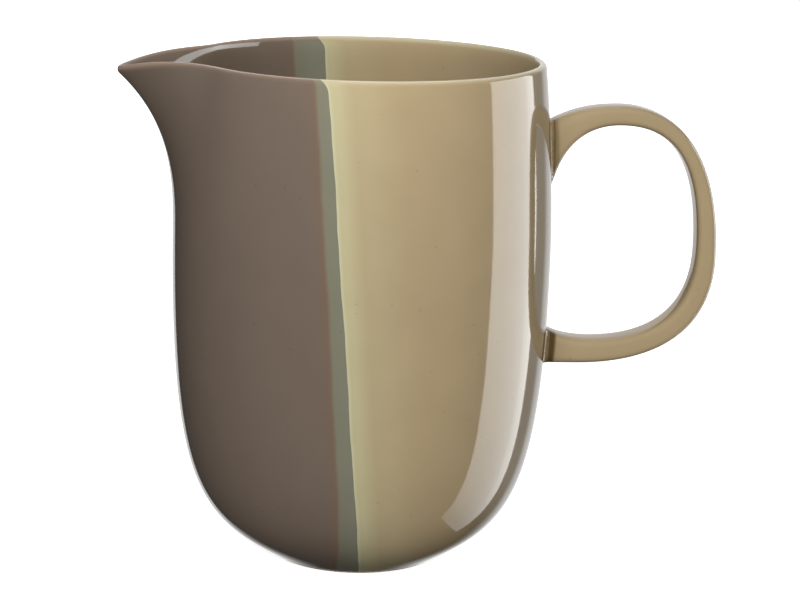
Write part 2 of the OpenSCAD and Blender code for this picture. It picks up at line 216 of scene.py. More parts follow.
def edge_colours(tree, distance_name, stops):
    """A colour that changes with the distance from a dip's edge, with stops in millimetres."""
    away = node(tree, "ShaderNodeAttribute", attribute_name=distance_name).outputs["Fac"]
    low, high = stops[0][0], stops[-1][0]
    share = node(tree, "ShaderNodeMapRange", {VALUE: away, FROM_MIN: low, FROM_MAX: high})
    ramp = node(tree, "ShaderNodeValToRGB", [share])
    ramp.color_ramp.interpolation = "EASE"
    while len(ramp.color_ramp.elements) < len(stops):
        ramp.color_ramp.elements.new(0.5)
    for element, (distance, colour) in zip(ramp.color_ramp.elements, stops):
        element.position = (distance - low) / (high - low)
        element.color = linear(colour)
    return ramp.outputs["Color"]


def give_surface(tree, colour, roughness, ior, height, bump_size, bump_strength=1):
    """The shader of a surface, with fine relief; the bump's size is in metres."""
    relief = node(tree, "ShaderNodeBump", {
        "Strength": bump_strength, "Distance": bump_size, "Height": height})
    surface = node(tree, "ShaderNodeBsdfPrincipled", {
        "Base Color": colour, "Roughness": roughness, "IOR": ior, "Normal": relief})
    node(tree, "ShaderNodeOutputMaterial", {"Surface": surface})


def dipped_glaze(name, distance_name, stops, lip_and_highlight_stops):
    """Glossy stoneware glaze: glassy and pooled, a little wavy, with soft clouds in its colour."""
    material, tree = new_material(name)
    place = node(tree, "ShaderNodeTexCoord").outputs["Object"]
    colour = edge_colours(tree, distance_name, stops)

    # Clouds about 14 mm across, where the dip ran thicker and thinner
    clouds = node(tree, "ShaderNodeTexNoise", {"Vector": place, "Scale": 70, "Detail": 3})
    cloud = node(tree, "ShaderNodeMapRange", {
        VALUE: clouds, FROM_MIN: 0.3, FROM_MAX: 0.7, TO_MIN: 0.975, TO_MAX: 1.02})
    colour = node(tree, VECTOR, {FIRST: colour, "Scale": cloud}, operation="SCALE")

    # Specks of iron from the clay, in one of every 29 cells 2.4 mm wide, up to 0.8 mm across
    speck_radius, all_but, darkness = 0.17, 0.965, 0.14
    grains = node(tree, "ShaderNodeTexVoronoi", {"Vector": place, "Scale": 420})
    near = node(tree, MATH, [grains.outputs["Distance"], speck_radius], operation="LESS_THAN")
    pick = node(tree, "ShaderNodeSeparateColor", [grains.outputs["Color"]])
    rare = node(tree, MATH, [pick.outputs[0], all_but], operation="GREATER_THAN")
    speck = node(tree, MATH, [near, rare], operation="MULTIPLY")
    dark = node(tree, MATH, [speck, darkness], operation="MULTIPLY")
    left = node(tree, MATH, [1, dark], operation="SUBTRACT")
    colour = node(tree, VECTOR, {FIRST: colour, "Scale": left}, operation="SCALE")

    # The lip: partly where the melted glaze ran thin and the body shows through, partly a painted
    # highlight along its edge
    lip = edge_colours(tree, "from_lip", lip_and_highlight_stops)
    below = node(tree, "ShaderNodeAttribute", attribute_name="from_lip").outputs["Fac"]
    thin_glaze_and_highlight = node(tree, "ShaderNodeMapRange", {
        VALUE: below, FROM_MIN: 1.2, FROM_MAX: 2.6, TO_MIN: 1, TO_MAX: 0},
        interpolation_type="SMOOTHSTEP")
    colour = node(tree, "ShaderNodeMix", {FACTOR: thin_glaze_and_highlight, COLOUR_A: colour, COLOUR_B: lip},
                  data_type="RGBA")

    # Painted shade in the creases at the handle's roots, where the glaze darkens to brown near the wall
    crease = node(tree, "ShaderNodeAttribute", attribute_name="crease").outputs["Fac"]
    colour = node(tree, "ShaderNodeMix", {
        FACTOR: crease, COLOUR_A: colour, COLOUR_B: linear("#5A4526")}, data_type="RGBA")

    # Waves a few hundredths of a millimetre high, 25 mm and 6 mm long, left by the run of the glaze
    long_waves = node(tree, "ShaderNodeTexNoise", {"Vector": place, "Scale": 40, "Detail": 1})
    short_waves = node(tree, "ShaderNodeTexNoise", {"Vector": place, "Scale": 170, "Detail": 1})
    short_share = 0.12
    waves = node(tree, MATH, [short_waves, short_share, long_waves], operation="MULTIPLY_ADD")
    give_surface(tree, colour, 0.07, GLASS_IOR, waves, bump_size=0.00006)
    return material


# Taupe stoneware glaze: brown-grey and glassy, reddish in the last millimetre before the sage
# For each glaze the last stops give its lip: glaze run thin over the body, paler still as a painted
# highlight
taupe = dipped_glaze("taupe_stoneware_glaze", "sand_edge",
                     [(-4, "#786A5E"), (-1.2, "#7A6A5C"), (-0.2, "#7F695B")],
                     [(0, "#A08C7A"), (2.6, "#77665A")])
# Sage: taupe under sand, so grey-green, and soft where it fades into the taupe
sage = dipped_glaze("sage_overlap_glaze", "sand_edge",
                    [(0, "#80705F"), (1.3, "#83816F"), (9, "#858473")],
                    [(0, "#A0937F"), (2.6, "#807566")])
# Sand glaze: warm beige, with a pale greenish line where it begins beside the sage
sand = dipped_glaze("sand_stoneware_glaze", "taupe_edge",
                    [(0, "#CBC7A4"), (1.4, "#C3BA93"), (9, "#B9A985"), (26, "#B4A07D")],
                    [(0, "#CFC6A8"), (2.6, "#BCAC88")])


def glazed_slip():
    """Slip under a run of sand glaze: smooth, with painted shade that darkens it towards the strap, in
    the hollow of the joint.
    """
    material, tree = new_material("glazed_slip_fillet")
    place = node(tree, "ShaderNodeTexCoord").outputs["Object"]
    # Painted shade: the colour darkens towards the strap, where the joint's hollow lies
    colour = edge_colours(tree, "up_fillet",
                          [(0, "#B4A07D"), (0.4, "#B09C7A"), (0.8, "#8F7A56"), (1, "#5F4A2A")])
    ripples = node(tree, "ShaderNodeTexNoise", {"Vector": place, "Scale": 600, "Detail": 2})
    shade = node(tree, "ShaderNodeMapRange", {
        VALUE: ripples, FROM_MIN: 0.3, FROM_MAX: 0.7, TO_MIN: 0.85, TO_MAX: 1.1})
    colour = node(tree, VECTOR, {FIRST: colour, "Scale": shade}, operation="SCALE")
    give_surface(tree, colour, 0.12, GLASS_IOR, ripples, bump_size=0.00008)
    return material


def fired_clay():
    """Bare stoneware: matt, buff, gritty, with rings from turning the foot on the wheel."""
    material, tree = new_material("fired_stoneware_clay")
    place = node(tree, "ShaderNodeTexCoord").outputs["Object"]

    # Rings round the foot's middle, as a turning tool leaves them
    ring_gap, wander_size = 0.9 * MM, 0.6 * MM
    flat = node(tree, VECTOR, [place, (1, 1, 0)], operation="MULTIPLY")
    wander = node(tree, "ShaderNodeTexNoise", {"Vector": place, "Scale": 90, "Detail": 2})
    radius = node(tree, VECTOR, [flat], operation="LENGTH").outputs["Value"]
    bent = node(tree, MATH, [wander, wander_size, radius], operation="MULTIPLY_ADD")
    phase = node(tree, MATH, [bent, math.tau / ring_gap], operation="MULTIPLY")
    rings = node(tree, MATH, [phase], operation="SINE")

    # Grit of 0.7 mm and finer: pale and rusty grains in the buff
    grit = node(tree, "ShaderNodeTexNoise", {"Vector": place, "Scale": 1500, "Detail": 4})
    grain = node(tree, "ShaderNodeMapRange", {VALUE: grit, FROM_MIN: 0.36, FROM_MAX: 0.66})
    ramp = node(tree, "ShaderNodeValToRGB", [grain])
    ramp.color_ramp.elements[0].color = linear("#A8906A")
    ramp.color_ramp.elements[1].color = linear("#D9CDB4")
    ramp.color_ramp.elements.new(0.45).color = linear("#CDBE9F")
    ring_shade = node(tree, "ShaderNodeMapRange", {
        VALUE: rings, FROM_MIN: -1, FROM_MAX: 1, TO_MIN: 0.94, TO_MAX: 1.03})
    colour = node(tree, VECTOR, {FIRST: ramp.outputs["Color"], "Scale": ring_shade}, operation="SCALE")
    ring_depth = 0.35
    height = node(tree, MATH, [rings, ring_depth, grit], operation="MULTIPLY_ADD")
    give_surface(tree, colour, 0.82, 1.5, height, bump_size=0.0001, bump_strength=0.7)
    return material


clay = fired_clay()
slip = glazed_slip()


# Outlines: cubic curves, four corners each, in the plane through the spout and the handle

heel_r = FOOT_R + BARE_W
heel_way = HEEL_PULL * (BELLY_R - heel_r)
lean = Vector((math.sin(math.radians(RIM_LEAN)), -math.cos(math.radians(RIM_LEAN))))
rim_z = JUG_H - RIM_T / 2 * (1 - lean.x)
shoulder_h = rim_z - BELLY_Z
rim_pull = Vector((RIM_R, rim_z)) + RIM_PULL * shoulder_h * lean

# Each corner of the wall's outline holds its radius, the wall's thickness there, and its height
wall_corners = [Vector(corner) * MM for corner in (
    (heel_r, HEEL_T, FOOT_H),
    (heel_r + heel_way, (2 * HEEL_T + WALL_T) / 3, FOOT_H + heel_way * math.tan(math.radians(HEEL_RISE))),
    (BELLY_R, (HEEL_T + 2 * WALL_T) / 3, BELLY_Z * BELLY_PULL),
    (BELLY_R, WALL_T, BELLY_Z),
    (BELLY_R, WALL_T, BELLY_Z),
    (BELLY_R, (2 * WALL_T + RIM_T) / 3, BELLY_Z + SHOULDER_PULL * shoulder_h),
    (rim_pull.x, (WALL_T + 2 * RIM_T) / 3, rim_pull.y),
    (RIM_R, RIM_T, rim_z),
)]


def on_curves(corners, run):
    """A point of an outline; run counts the curves passed so far."""
    first = min(int(run), len(corners) // CORNERS - 1)
    points = corners[CORNERS * first:CORNERS * first + CORNERS]
    while len(points) > 1:
        points = [a.lerp(b, run - first) for a, b in zip(points, points[1:])]
    return points[0]


wall_line = [on_curves(wall_corners, i / LINE_STEPS) / MM for i in range(LINE_STEPS * WALL_RUN + 1)]


def wall_radius(z):
    """The radius of the wall's outside at a height in millimetres, away from the spout."""
    for low, high in zip(wall_line, wall_line[1:]):
        if low.z <= z <= high.z:
            return low.x + (high.x - low.x) * (z - low.z) / (high.z - low.z)


# The handle's outlines: its outer and its inner edge, from the upper root to the lower one
handle_top = JUG_H - HANDLE_DROP
handle_h = handle_top - HANDLE_LOW
handle_x = BELLY_R + HANDLE_OUT
under_x = handle_x - HANDLE_T
under_top = handle_top - HANDLE_T
over_low = HANDLE_LOW + HANDLE_LOW_T
inner_root = handle_top - ROOT_FALL - ROOT_H
low_root = HANDLE_LOW + ROOT_LOW_H


def out_to(share, z):
    """A corner at a share of the handle's reach beyond the belly."""
    return (BELLY_R + share * HANDLE_OUT, z)


def up_to(x, share):
    """A corner at a share of the handle's height."""
    return (x, HANDLE_LOW + share * handle_h)


def on_wall(z):
    """A root's corner: on the slip, which lies on the bare clay."""
    return (wall_radius(z) - GLAZE_T + SLIP_T, z)


def outline(*curves):
    """Corners in millimetres of curves that follow each other, each from where the last ended."""
    corners = []
    for curve in curves:
        start = curve if not corners else [corners[-1]] + list(curve)
        corners += start
    return [Vector((x, 0, z)) * MM for x, z in corners]


low_arm, low_end = Vector(out_to(OUTER_HEEL[2], HANDLE_LOW)), Vector(on_wall(HANDLE_LOW))
outer_corners = outline(
    [on_wall(handle_top - ROOT_FALL), out_to(OUTER_TOP[0], handle_top - OUTER_FALL * ROOT_FALL),
     out_to(OUTER_TOP[1], handle_top), out_to(OUTER_TOP[2], handle_top)],
    [out_to(OUTER_TURN[0], handle_top), up_to(handle_x, OUTER_TURN[1]), up_to(handle_x, OUTER_MID)],
    [up_to(handle_x, OUTER_HEEL[0]), out_to(OUTER_HEEL[1], HANDLE_LOW), tuple(low_arm)],
    [tuple(low_arm.lerp(low_end, 1 / 3)), tuple(low_arm.lerp(low_end, 2 / 3)), tuple(low_end)],
)
inner_corners = outline(
    [on_wall(inner_root), out_to(INNER_TOP[0], inner_root + INNER_FLARE * (under_top - inner_root)),
     out_to(INNER_TOP[1], under_top), out_to(INNER_TOP[2], under_top)],
    [out_to(INNER_TURN[0], under_top), up_to(under_x, INNER_TURN[1]), up_to(under_x, INNER_MID)],
    [up_to(under_x, INNER_HEEL[0]), out_to(INNER_HEEL[1], over_low), out_to(INNER_HEEL[2], over_low)],
    [out_to(INNER_ROOT[0], over_low),
     out_to(INNER_ROOT[1], over_low + INNER_ROOT_RISE * (low_root - over_low)), on_wall(low_root)],
)


# Trees for the shapes that follow a rule

def curve_point_tree():
    """A point of an outline, from the four corners of the curve that the run has reached."""
    tree, given = new_tree("curve_point", {"Corners": "Geometry", "Run": "Float"}, {"Point": "Vector"})
    size = node(tree, "GeometryNodeAttributeDomainSize", {"Geometry": given["Corners"]})
    last = node(tree, MATH, [size.outputs["Point Count"], 1 / CORNERS, -1], operation="MULTIPLY_ADD")
    passed = node(tree, MATH, [given["Run"]], operation="FLOOR")
    held = node(tree, MATH, [node(tree, MATH, [passed, 0], operation="MAXIMUM"), last],
                operation="MINIMUM")
    share = node(tree, MATH, [given["Run"], held], operation="SUBTRACT", use_clamp=True)
    points = []
    for i in range(CORNERS):
        index = node(tree, MATH, [held, CORNERS, i], operation="MULTIPLY_ADD")
        points.append(node(tree, "GeometryNodeSampleIndex", {
            "Geometry": given["Corners"], "Value": node(tree, "GeometryNodeInputPosition"),
            "Index": index}, data_type="FLOAT_VECTOR"))
    node(tree, "NodeGroupOutput", {"Point": narrowed(tree, share, points)})
    return tree


curve_point = curve_point_tree()
SPOUT_SOCKETS = {"Belly height": "Float", "Shoulder height": "Float", "Spout reach": "Float",
                 "Spout droop": "Float", "Spout fade": "Float", "Keel": "Float"}


def wall_point_tree():
    """A point of the wall's outside, at a turn from the spout's keel and a run up the outline."""
    tree, given = new_tree("wall_point", {
        "Corners": "Geometry", "Turn": "Float", "Run": "Float", **SPOUT_SOCKETS,
    }, {"Point": "Vector", "Wall": "Float"})
    plain = node(tree, "GeometryNodeGroup", {
        "Corners": given["Corners"], "Run": given["Run"]}, node_tree=curve_point)
    parts = node(tree, "ShaderNodeSeparateXYZ", [plain]).outputs

    # The spout's share round the jug: a soft keel in the middle, and nothing left at its sides
    square = node(tree, MATH, [given["Turn"], given["Turn"]], operation="MULTIPLY")
    both = node(tree, MATH, [given["Keel"], given["Keel"], square], operation="MULTIPLY_ADD")
    root = node(tree, MATH, [both], operation="SQRT")
    keel = node(tree, MATH, [root, given["Keel"]], operation="SUBTRACT")
    across = node(tree, MATH, [keel, given["Spout fade"]], operation="DIVIDE")
    bent = node(tree, MATH, [across, SPOUT_ROUND_POWER], operation="POWER")
    left = node(tree, MATH, [1, bent], operation="SUBTRACT", use_clamp=True)
    share = node(tree, MATH, [left, SPOUT_FADE_POWER], operation="POWER")

    # Its share up the wall, from none at the belly to all at the rim
    above = node(tree, MATH, [parts["Z"], given["Belly height"]], operation="SUBTRACT")
    way_up = node(tree, MATH, [above, given["Shoulder height"]], operation="DIVIDE", use_clamp=True)
    rise = node(tree, MATH, [way_up, SPOUT_RISE_POWER], operation="POWER")

    pull = node(tree, MATH, [share, rise], operation="MULTIPLY")
    radius = node(tree, MATH, [pull, given["Spout reach"], parts["X"]], operation="MULTIPLY_ADD")
    sag = node(tree, MATH, [node(tree, MATH, [share, DROOP_POWER], operation="POWER"), rise],
               operation="MULTIPLY")
    drop = node(tree, MATH, [sag, given["Spout droop"]], operation="MULTIPLY")
    height = node(tree, MATH, [parts["Z"], drop], operation="SUBTRACT")
    flat = node(tree, "ShaderNodeCombineXYZ", {"X": radius, "Z": height})
    turn = node(tree, MATH, [math.pi, given["Turn"]], operation="SUBTRACT")
    point = node(tree, "ShaderNodeVectorRotate", {"Vector": flat, "Angle": turn},
                 rotation_type="Z_AXIS")
    node(tree, "NodeGroupOutput", {"Point": point, "Wall": parts["Y"]})
    return tree


wall_point = wall_point_tree()


def give_mesh(tree, shape, material, inside_out=False):
    """The end of a tree: closes the net where it meets itself, smooths it and gives its material."""
    shape = node(tree, "GeometryNodeMergeByDistance", {"Geometry": shape, "Distance": SAME_POINT})
    if inside_out:
        shape = node(tree, "GeometryNodeFlipFaces", {"Mesh": shape})
    shape = node(tree, "GeometryNodeSetShadeSmooth", {"Geometry": shape})
    shape = node(tree, "GeometryNodeRealizeInstances", {"Geometry": shape})
    shape = node(tree, "GeometryNodeSetMaterial", {"Geometry": shape, "Material": material})
    node(tree, "NodeGroupOutput", {"Mesh": shape})


def wall_tree():
    """The wall: a net whose rows follow the section's stops and whose columns turn round the jug.
    A stop is a run up the outline, a share of the wall's thickness and a lift over the lip; a stop
    with a run below zero is a plain radius and height."""
    tree, given = new_tree("thrown_wall", {
        "Corners": "Object", "Section": "Object", "Columns": "Int", "Crowding": "Float",
        "Depth": "Float", **SPOUT_SOCKETS, "Material": "Material"}, {"Mesh": "Geometry"})
    corners = node(tree, "GeometryNodeObjectInfo", {"Object": given["Corners"]}).outputs["Geometry"]
    section = node(tree, "GeometryNodeObjectInfo", {"Object": given["Section"]}).outputs["Geometry"]
    rows = node(tree, "GeometryNodeAttributeDomainSize", {"Geometry": section}).outputs["Point Count"]
    wide = node(tree, MATH, [given["Columns"], 1], operation="ADD")
    net = node(tree, "GeometryNodeMeshGrid", {"Vertices X": wide, "Vertices Y": rows})
    index = node(tree, "GeometryNodeInputIndex")
    row = node(tree, MATH, [index, rows], operation="MODULO")
    column = node(tree, MATH, [node(tree, MATH, [index, rows], operation="DIVIDE")], operation="FLOOR")
    stop = node(tree, "GeometryNodeSampleIndex",
                {"Geometry": section, "Value": node(tree, "GeometryNodeInputPosition"), "Index": row},
                data_type="FLOAT_VECTOR")
    run, share, lift = node(tree, "ShaderNodeSeparateXYZ", [stop]).outputs

    # Columns crowd towards the spout, in the middle of the net
    across = node(tree, MATH, [column, given["Columns"]], operation="DIVIDE")
    side = node(tree, MATH, [across, 2, -1], operation="MULTIPLY_ADD")
    size = node(tree, MATH, [node(tree, MATH, [side], operation="ABSOLUTE"), given["Crowding"]],
                operation="POWER")
    signed = node(tree, MATH, [size, node(tree, MATH, [side], operation="SIGN")], operation="MULTIPLY")
    turn = node(tree, MATH, [signed, math.pi], operation="MULTIPLY")

    # The point itself and its four neighbours, which give the ways round, up and out
    found = {}
    for name, turn_step, run_step in (("here", 0, 0), ("ahead", STEP, 0), ("behind", -STEP, 0),
                                      ("above", 0, STEP), ("below", 0, -STEP)):
        found[name] = node(tree, "GeometryNodeGroup",
                           {"Corners": corners,
                            "Turn": node(tree, MATH, [turn, turn_step], operation="ADD"),
                            "Run": node(tree, MATH, [run, run_step], operation="ADD"),
                            **{title: given[title] for title in SPOUT_SOCKETS}}, node_tree=wall_point)
    round_way = node(tree, VECTOR, [found["ahead"], found["behind"]], operation="SUBTRACT")
    up_way = node(tree, VECTOR, [found["above"], found["below"]], operation="SUBTRACT")
    out_way = node(tree, VECTOR, [node(tree, VECTOR, [up_way, round_way], operation="CROSS_PRODUCT")],
                   operation="NORMALIZE")
    along = node(tree, VECTOR, [node(tree, VECTOR, [round_way, out_way], operation="CROSS_PRODUCT")],
                 operation="NORMALIZE")

    # Inward by the share of the wall, less the depth under the glaze on both of its faces
    wall = found["here"].outputs["Wall"]
    flip = node(tree, MATH, [share, -2, 1], operation="MULTIPLY_ADD")
    under = node(tree, MATH, [flip, given["Depth"]], operation="MULTIPLY")
    inset = node(tree, MATH, [share, wall, under], operation="MULTIPLY_ADD")
    core = node(tree, MATH, [given["Depth"], -2, wall], operation="MULTIPLY_ADD")
    raised = node(tree, MATH, [lift, core], operation="MULTIPLY")
    inward = node(tree, VECTOR, {FIRST: out_way, "Scale": inset}, operation="SCALE")
    upward = node(tree, VECTOR, {FIRST: along, "Scale": raised}, operation="SCALE")
    skin = node(tree, VECTOR, [found["here"], inward], operation="SUBTRACT")
    ruled = node(tree, VECTOR, [skin, upward], operation="ADD")
    plain = node(tree, "ShaderNodeVectorRotate",
                 {"Vector": node(tree, "ShaderNodeCombineXYZ", {"X": share, "Z": lift}),
                  "Angle": node(tree, MATH, [math.pi, turn], operation="SUBTRACT")},
                 rotation_type="Z_AXIS")
    is_plain = node(tree, MATH, [run, 0], operation="LESS_THAN")
    place = node(tree, "GeometryNodeSwitch", {"Switch": is_plain, "False": ruled, "True": plain},
                 input_type="VECTOR")
    shape = node(tree, "GeometryNodeSetPosition", {"Geometry": net, "Position": place})
    for name in ("from_lip", "skin"):
        kept = node(tree, "GeometryNodeInputNamedAttribute", {"Name": name})
        value = node(tree, "GeometryNodeSampleIndex", {
            "Geometry": section, "Value": kept, "Index": row})
        shape = node(tree, "GeometryNodeStoreNamedAttribute", {
            "Geometry": shape, "Name": name, "Value": value})
    give_mesh(tree, shape, given["Material"], inside_out=True)
    return tree


STRAP_SIZES = ("Width", "Low width", "Squareness")


def strap_sockets(edge_kind):
    """Sockets for the strap's two edges, and for its sizes."""
    return {"Outer": edge_kind, "Inner": edge_kind, **{title: "Float" for title in STRAP_SIZES}}


def strap_point_tree():
    """A point of the strap: at a run along its two edges, a turn round its section, and a depth."""
    tree, given = new_tree("strap_point", {
        "Run": "Float", "Turn": "Float", "Depth": "Float", **strap_sockets("Geometry")},
        {"Point": "Vector"})
    outer, inner = [node(tree, "GeometryNodeGroup", {
        "Corners": given[title], "Run": given["Run"]}, node_tree=curve_point)
        for title in ("Outer", "Inner")]
    middle = node(tree, "ShaderNodeMix", {FACTOR: 0.5, VECTOR_A: outer, VECTOR_B: inner},
                  data_type="VECTOR")
    through = node(tree, VECTOR, [outer, inner], operation="SUBTRACT")
    way = node(tree, VECTOR, [through], operation="NORMALIZE")
    thick = node(tree, VECTOR, [through], operation="LENGTH").outputs["Value"]
    share = node(tree, MATH, [given["Run"], STRAP_RUN], operation="DIVIDE")
    width = node(tree, "ShaderNodeMix",
                 {FACTOR: share, FLOAT_A: given["Width"], FLOAT_B: given["Low width"]})
    reach = []
    for wave, whole in (("COSINE", thick), ("SINE", width)):
        half = node(tree, MATH, [node(tree, MATH, [whole, 0.5], operation="MULTIPLY"), given["Depth"]],
                    operation="SUBTRACT")
        value = node(tree, MATH, [given["Turn"]], operation=wave)
        bent = node(tree, MATH, [node(tree, MATH, [value], operation="ABSOLUTE"), given["Squareness"]],
                    operation="POWER")
        signed = node(tree, MATH, [bent, node(tree, MATH, [value], operation="SIGN")],
                      operation="MULTIPLY")
        reach.append(node(tree, MATH, [signed, half], operation="MULTIPLY"))
    up = node(tree, VECTOR, {FIRST: way, "Scale": reach[0]}, operation="SCALE")
    side = node(tree, "ShaderNodeCombineXYZ", {"Y": reach[1]})
    point = node(tree, VECTOR, [node(tree, VECTOR, [middle, up], operation="ADD"), side],
                 operation="ADD")
    node(tree, "NodeGroupOutput", {"Point": point})
    return tree


strap_point = strap_point_tree()


def ring_net(tree, given):
    """A net of closed rings: the net, each point's ring, the last ring, and its turn round a ring."""
    closed = node(tree, MATH, [given["Points"], 1], operation="ADD")
    net = node(tree, "GeometryNodeMeshGrid", {"Vertices X": given["Rings"], "Vertices Y": closed})
    index = node(tree, "GeometryNodeInputIndex")
    ring = node(tree, MATH, [node(tree, MATH, [index, closed], operation="DIVIDE")], operation="FLOOR")
    last = node(tree, MATH, [given["Rings"], 1], operation="SUBTRACT")
    place = node(tree, MATH, [node(tree, MATH, [index, closed], operation="MODULO"), given["Points"]],
                 operation="MODULO")
    turn = node(tree, MATH, [node(tree, MATH, [place, given["Points"]], operation="DIVIDE"), math.tau],
                operation="MULTIPLY")
    return net, ring, last, turn


def strap_tree():
    """The strap: rings of the section along its two edges, open at both ends."""
    tree, given = new_tree("pulled_strap", {
        **strap_sockets("Object"), "Rings": "Int", "Points": "Int", "Start": "Float",
        "End": "Float", "Depth": "Float", "Material": "Material"}, {"Mesh": "Geometry"})
    net, ring, last, turn = ring_net(tree, given)
    run = node(tree, "ShaderNodeMapRange",
               {VALUE: ring, FROM_MIN: 0, FROM_MAX: last, TO_MIN: given["Start"], TO_MAX: given["End"]})
    edges = {title: node(tree, "GeometryNodeObjectInfo",
                         {"Object": given[title]}).outputs["Geometry"]
             for title in ("Outer", "Inner")}
    point = node(tree, "GeometryNodeGroup",
                 {"Run": run, "Turn": turn, "Depth": given["Depth"], **edges,
                  **{title: given[title] for title in STRAP_SIZES}}, node_tree=strap_point)
    shape = node(tree, "GeometryNodeSetPosition", {"Geometry": net, "Position": point})
    give_mesh(tree, shape, given["Material"])
    return tree


def fillet_tree():
    """The slip round a root: from its edge on the wall, in a hollow curve, on to the strap."""
    tree, given = new_tree("slip_fillet", {
        **strap_sockets("Object"), "Wall": "Object", "Rings": "Int", "Points": "Int",
        "Root": "Float", "End": "Float", "Bead": "Float", "Material": "Material"},
        {"Mesh": "Geometry"})
    net, ring, last, turn = ring_net(tree, given)
    share = node(tree, MATH, [ring, last], operation="DIVIDE")
    edges = {title: node(tree, "GeometryNodeObjectInfo",
                         {"Object": given[title]}).outputs["Geometry"]
             for title in ("Outer", "Inner")}
    wall = node(tree, "GeometryNodeObjectInfo", {"Object": given["Wall"]}).outputs["Geometry"]
    outset = node(tree, MATH, [given["Bead"], -1], operation="MULTIPLY")

    # Rays from beside the strap find the wall; the last ring lies a hair over the strap's glaze
    ray_start, ray_reach, over_strap = (0.05, 0, 0), 0.2, 0.01 * MM
    points = []
    for where, depth in (("Root", outset), ("Root", 0.0), ("End", -over_strap)):
        point = node(tree, "GeometryNodeGroup",
                     {"Run": given[where], "Turn": turn, "Depth": depth, **edges,
                      **{title: given[title] for title in STRAP_SIZES}}, node_tree=strap_point)
        if where == "Root":
            start = node(tree, VECTOR, [point, ray_start], operation="ADD")
            hit = node(tree, "GeometryNodeRaycast", {
                "Target Geometry": wall, "Source Position": start,
                "Ray Direction": (-1, 0, 0), "Ray Length": ray_reach})
            point = hit.outputs["Hit Position"]
        points.append(point)
    curved = narrowed(tree, share, points)
    shape = node(tree, "GeometryNodeSetPosition", {"Geometry": net, "Position": curved})
    shape = node(tree, "GeometryNodeStoreNamedAttribute", {
        "Geometry": shape, "Name": "up_fillet", "Value": share})
    give_mesh(tree, shape, given["Material"])
    return tree


# The wall's section: its stops from the foot over the lip to the middle of the floor

def foot_stops():
    """Radius and height of each stop under the clay's foot, from the middle out to the glaze's edge."""
    low, inner, bevel = FOOT_R, FOOT_R - FOOT_W, FOOT_BEVEL
    hollow = [(r, RECESS_H) for r in (0, 4, 9, 14, 19, 23, inner - 0.3)]
    ring_inside = [(inner - 0.08, RECESS_H - 0.04), (inner, RECESS_H - 0.2), (inner, bevel + 0.1),
                   (inner + 0.08, bevel - 0.2), (inner + 0.3, 0.08)]
    standing = [(inner + bevel + 0.1, 0), (low - bevel - 0.1, 0)]
    ring_outside = [(low - 0.3, 0.08), (low - 0.08, bevel - 0.2), (low, bevel + 0.1), (low, 0.95),
                    (low + 0.06, 1.08), (low + 0.2, 1.13)]
    return [(-1, r * MM, z * MM) for r, z in hollow + ring_inside + standing + ring_outside]


def section_stops(depth, from_foot):
    """Stops of the section at a depth under the glaze. The clay's own start under the foot; the
    glaze's start in a small roll where it ends above the foot."""
    stops, skins = [], []
    if from_foot:
        stops += foot_stops()
    else:
        for i in range(ROLL_ROWS):
            turn = math.radians(90 * i / ROLL_ROWS)
            deep = ROLL_H * (1 - math.sin(turn))
            stops.append((ROLL_RUN * (1 - math.cos(turn)), deep / HEEL_T, 0))
            skins.append(SKIN_T - deep)
    start = 0 if from_foot else ROLL_RUN
    stops += [(start + (1 - start) * i / BELLY_ROWS, 0, 0) for i in range(BELLY_ROWS)]
    stops += [(1 + i / SHOULDER_ROWS, 0, 0) for i in range(SHOULDER_ROWS)]

    # Round the lip's outer half, then down its inner half, which the wet leather rounded off more
    crown = len(stops) + LIP_ROWS // 2
    for i in range(LIP_ROWS // 2 + 1):
        turn = math.pi * i / LIP_ROWS
        stops.append((WALL_RUN, (1 - math.cos(turn)) / 2, math.sin(turn) / 2))
    top_speed = 3 * (wall_corners[7] - wall_corners[6]).length / MM
    for i in range(1, LIP_ROWS + 1):
        turn = math.pi / 2 * (1 - i / LIP_ROWS)
        up = (RIM_T / 2 + LIP_FALL) * math.sin(turn) - LIP_FALL
        stops.append((WALL_RUN + min(up, 0) / top_speed, (1 + math.cos(turn)) / 2, max(up, 0) / RIM_T))
    low_lip = stops[-1][0]
    stops += [(low_lip - (low_lip - 1) * i / INNER_SHOULDER_ROWS, 1, 0)
              for i in range(1, INNER_SHOULDER_ROWS + 1)]
    stops += [(1 - i / INNER_BELLY_ROWS, 1, 0) for i in range(1, INNER_BELLY_ROWS)]

    # Over the floor, in a curve that leaves the wall at its own slope and ends flat
    start = on_curves(wall_corners, 0) / MM
    way = wall_corners[1] - wall_corners[0]
    way = Vector((way.x, way.z)).normalized()
    inside = Vector((start.x, 0, start.z)) + (HEEL_T - depth) * Vector((-way.y, 0, way.x))
    floor_z = RECESS_H + FLOOR_T - depth
    floor = [inside] + [Vector((pull * inside.x, 0, floor_z)) for pull in (*FLOOR_PULLS, 0)]
    for i in range(FLOOR_ROWS + 1):
        point = on_curves(floor, i / FLOOR_ROWS)
        stops.append((-1, point.x * MM, point.z * MM))
    skins += [SKIN_T] * (len(stops) - len(skins))

    # How far each stop lies from the lip's crown, along the wall
    line = []
    for run, share, lift in stops:
        if run < 0:
            line.append(Vector((share, lift)))
            continue
        here = on_curves(wall_corners, run)
        ahead, behind = min(run + FINE_STEP, WALL_RUN), max(run - FINE_STEP, 0)
        way = on_curves(wall_corners, ahead) - on_curves(wall_corners, behind)
        way = Vector((way.x, way.z)).normalized()
        out = Vector((way.y, -way.x))
        line.append(Vector((here.x, here.z)) - out * share * here.y + way * lift * here.y)
    steps = [(b - a).length / MM for a, b in zip(line, line[1:])]
    from_lip = [sum(steps[min(i, crown):max(i, crown)]) for i in range(len(stops))]
    return point_object("section", stops, from_lip=from_lip, skin=skins)


